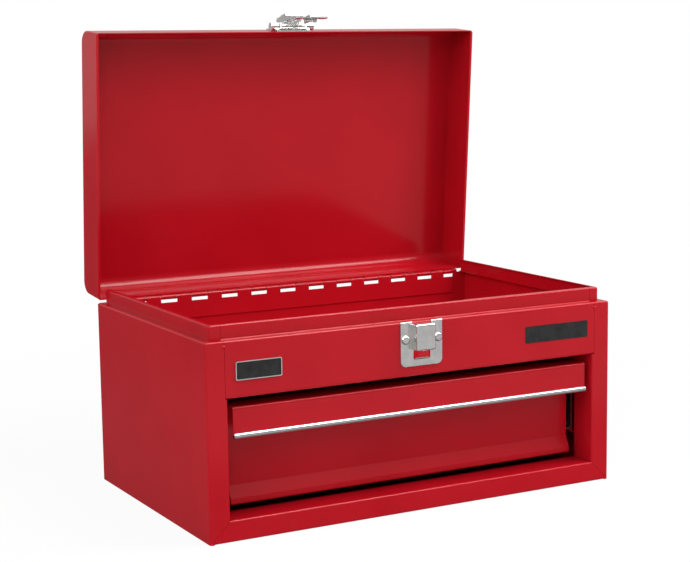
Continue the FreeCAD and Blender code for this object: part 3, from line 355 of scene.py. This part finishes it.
bumps = bmesh.new()
weld_nub(bumps, -NUB_ACROSS, FACE_FRONT, NUB_UP)
weld_nub(bumps, NUB_ACROSS, FACE_FRONT, NUB_UP)
for face in bumps.faces:
    face.smooth = True
nub_mesh = bpy.data.meshes.new("weld_nubs")
bumps.to_mesh(nub_mesh)
bumps.free()
nubs = bpy.data.objects.new("weld_nubs", nub_mesh)
nubs.data.materials.append(red_paint)
bpy.context.scene.collection.objects.link(nubs)
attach(nubs, "box")
print("weld nubs", len(nub_mesh.polygons), "faces")

# %% [markdown]
# ## Floor, light and surroundings
#
# A catalogue picture is taken in a white sweep under large soft boxes. A plain plane is floor
# enough. Its shader asks what kind of ray has hit it: the camera sees it nearly white, and quite
# white further out, where it meets the wall without an edge. What is left of the plain shader
# lets the shadow show. Reflections see a darker floor, with a pale card lying in front of the
# box, so that the sides keep their deep colour and the bright catch has something to mirror.

# %% Light that depends on the ray
WHITE = (1.0, 1.0, 1.0, 1.0)


def combined(tree, operation, first, second):
    """Two levels added or multiplied."""
    result = tree.nodes.new("ShaderNodeMath")
    result.operation = operation
    tree.links.new(first, result.inputs[0])
    tree.links.new(second, result.inputs[1])
    return result.outputs["Value"]


def climb(tree, value, start, end, low, high):
    """Goes smoothly from low to high while the value goes from start to end."""
    slope = tree.nodes.new("ShaderNodeMapRange")
    slope.interpolation_type = "SMOOTHSTEP"
    slope.inputs["From Min"].default_value = start
    slope.inputs["From Max"].default_value = end
    slope.inputs["To Min"].default_value = low
    slope.inputs["To Max"].default_value = high
    tree.links.new(value, slope.inputs["Value"])
    return slope.outputs["Result"]


def seen_rays(tree):
    """1 for a ray from the camera, from a mirror or through glass, else 0."""
    kind = tree.nodes.new("ShaderNodeLightPath")
    either = combined(tree, "ADD", kind.outputs["Is Camera Ray"], kind.outputs["Is Glossy Ray"])
    every = combined(tree, "ADD", either, kind.outputs["Is Transmission Ray"])
    every.node.use_clamp = True
    return every


def white_or(tree, level):
    """1 for the camera's own rays, and the level for all the others."""
    kind = tree.nodes.new("ShaderNodeLightPath")
    pick = tree.nodes.new("ShaderNodeMapRange")
    pick.inputs["To Max"].default_value = 1.0
    tree.links.new(level, pick.inputs["To Min"])
    tree.links.new(kind.outputs["Is Camera Ray"], pick.inputs["Value"])
    return pick.outputs["Result"]


# %% Floor paint
FLOOR_WHITE = (0.8, 0.8, 0.8)
FLOOR_ROUGHNESS = (0.8, 0.95)
FLOOR_SHEEN = 0.1
FLOOR_PATCH = 20.0

floor_paint, tree, shader = new_finish("floor_paint", FLOOR_WHITE, 0.0)
patches = noise(tree, object_space(tree), FLOOR_PATCH)
tree.links.new(between(tree, patches, *FLOOR_ROUGHNESS), shader.inputs["Roughness"])
shader.inputs["Specular IOR Level"].default_value = FLOOR_SHEEN
print("floor paint", FLOOR_WHITE)

# %% Floor glow
FLOOR_MIRRORED = 0.12
CARD_MIRRORED = 0.6
CARD_EDGE = (-0.5, -0.25)
FLOOR_GLOW = 0.93
SHADE_REACH = (0.35, 1.0)

spot = tree.nodes.new("ShaderNodeTexCoord").outputs["Object"]
along = tree.nodes.new("ShaderNodeSeparateXYZ")
tree.links.new(spot, along.inputs["Vector"])
mirrored = climb(tree, along.outputs["Y"], *CARD_EDGE, CARD_MIRRORED, FLOOR_MIRRORED)
glow = tree.nodes.new("ShaderNodeEmission")
glow.inputs["Color"].default_value = WHITE
tree.links.new(white_or(tree, mirrored), glow.inputs["Strength"])
away = tree.nodes.new("ShaderNodeVectorMath")
away.operation = "LENGTH"
tree.links.new(spot, away.inputs[0])
fade = climb(tree, away.outputs["Value"], *SHADE_REACH, FLOOR_GLOW, 1.0)
mixed = tree.nodes.new("ShaderNodeMixShader")
tree.links.new(combined(tree, "MULTIPLY", seen_rays(tree), fade), mixed.inputs["Fac"])
tree.links.new(shader.outputs["BSDF"], mixed.inputs[1])
tree.links.new(glow.outputs["Emission"], mixed.inputs[2])
tree.links.new(mixed.outputs["Shader"], tree.nodes["Material Output"].inputs["Surface"])
print("floor glows with", FLOOR_GLOW, "near the box")

# %% Floor
FLOOR_HALF = 6.0
FLOOR_DROP = 0.0002
FLOOR_CELLS = 2

plane = bmesh.new()
bmesh.ops.create_grid(plane, x_segments=FLOOR_CELLS, y_segments=FLOOR_CELLS, size=FLOOR_HALF)
floor_mesh = bpy.data.meshes.new("floor")
plane.to_mesh(floor_mesh)
plane.free()
floor = bpy.data.objects.new("floor", floor_mesh)
floor.location.z = -FLOOR_DROP
floor.data.materials.append(floor_paint)
bpy.context.scene.collection.objects.link(floor)
print("floor", 2 * FLOOR_HALF, "m square")

# %% [markdown]
# The world stands for the studio. The camera sees pure white all round. A reflection sees a
# grey wall behind the box, a dim one where the camera stands and a bright ceiling: plating needs
# dark and light to mirror, or it would look like white plastic, and the ceiling draws the thin
# pale line along each bend. Two gradients, front to back and upwards, give all three. The light
# that falls on the box is turned down, so that the paint doesn't bleach.

# %% White room
WALL_LIGHT = 0.36
DIM_SIDE = 0.10
FAR_SIDE = 0.5
SIDE_TURN = (-0.45, 0.15)
OVERHEAD = 2.6
CEILING_EDGE = (0.35, 0.75)

room = bpy.data.worlds.new("white_room")
bpy.context.scene.world = room
room.use_nodes = True
tree = room.node_tree
backdrop = tree.nodes["Background"]
backdrop.inputs["Color"].default_value = WHITE
heading = tree.nodes.new("ShaderNodeTexCoord")
split = tree.nodes.new("ShaderNodeSeparateXYZ")
tree.links.new(heading.outputs["Generated"], split.inputs["Vector"])
side = climb(tree, split.outputs["Y"], *SIDE_TURN, DIM_SIDE, FAR_SIDE)
ceiling = climb(tree, split.outputs["Z"], *CEILING_EDGE, 0.0, OVERHEAD)
mirrored = combined(tree, "ADD", side, ceiling)
level = tree.nodes.new("ShaderNodeMix")
level.data_type = "FLOAT"
level.inputs["A"].default_value = WALL_LIGHT
tree.links.new(seen_rays(tree), level.inputs["Factor"])
tree.links.new(white_or(tree, mirrored), level.inputs["B"])
tree.links.new(level.outputs["Result"], backdrop.inputs["Strength"])
print("room lit at", WALL_LIGHT)

# %% [markdown]
# Soft boxes shape the folds. The longest hangs overhead, a little to the right and in front: its
# reflection runs along the left part of every bend and dies out to the right. One on each side
# keeps the sides from going dark, and a weak one beside the camera reaches into the open lid.

# %% Soft boxes
AIM = at(0.0, 0.0, 180.0)
SOFT_BOXES = (
    ("top_box", (0.5, -0.5, 1.42), (0.6, 1.1), 18.0),
    ("right_box", (1.4, -0.6, 1.0), (0.8, 0.8), 8.0),
    ("left_box", (-1.9, -0.5, 1.2), (1.2, 1.2), 22.0),
    ("front_box", (-1.0, -1.7, 1.2), (0.9, 0.9), 7.5),
)


def soft_box(name, place, size, power):
    """A rectangular lamp that looks at the middle of the box."""
    lamp = bpy.data.lights.new(name, "AREA")
    lamp.shape = "RECTANGLE"
    lamp.size, lamp.size_y = size
    lamp.energy = power
    piece = bpy.data.objects.new(name, lamp)
    piece.location = place
    piece.rotation_euler = (AIM - Vector(place)).to_track_quat("-Z", "Y").to_euler()
    bpy.context.scene.collection.objects.link(piece)
    print(name, "at", tuple(place), "with", power, "W")
    return piece


for name, place, size, power in SOFT_BOXES:
    soft_box(name, place, size, power)

# %% [markdown]
# ## Camera
#
# The picture was taken with a long lens from the left front and a little above, and was cut out
# afterwards, so the lens's axis isn't in the middle of the picture. A lens shift says exactly
# that. Turning the camera instead would bend the uprights.

# %% Camera
LENS = 88.065
SENSOR = 36.0
SHIFT = (-0.0895, 0.00627)
CAMERA_AT = at(-733.5, -1368.7, 413.8)
CAMERA_RIGHT = Vector((0.864786, -0.502064, -0.008782))
CAMERA_UP = Vector((0.080902, 0.122048, 0.989221))

camera = bpy.data.objects.new("camera", bpy.data.cameras.new("camera"))
camera.data.lens = LENS
camera.data.sensor_width = SENSOR
camera.data.shift_x, camera.data.shift_y = SHIFT
right = CAMERA_RIGHT.normalized()
back = right.cross(CAMERA_UP).normalized()
up = back.cross(right)
turn = Matrix((right, up, back)).transposed().to_4x4()
camera.matrix_world = Matrix.Translation(CAMERA_AT) @ turn
bpy.context.scene.collection.objects.link(camera)
bpy.context.scene.camera = camera
print("camera at", tuple(round(v, 3) for v in camera.location), "lens", LENS, "mm")

# %% [markdown]
# ## Plain colour
#
# The Standard view shows a colour as it was written.

# %% Finish
bpy.context.scene.view_settings.view_transform = "Standard"
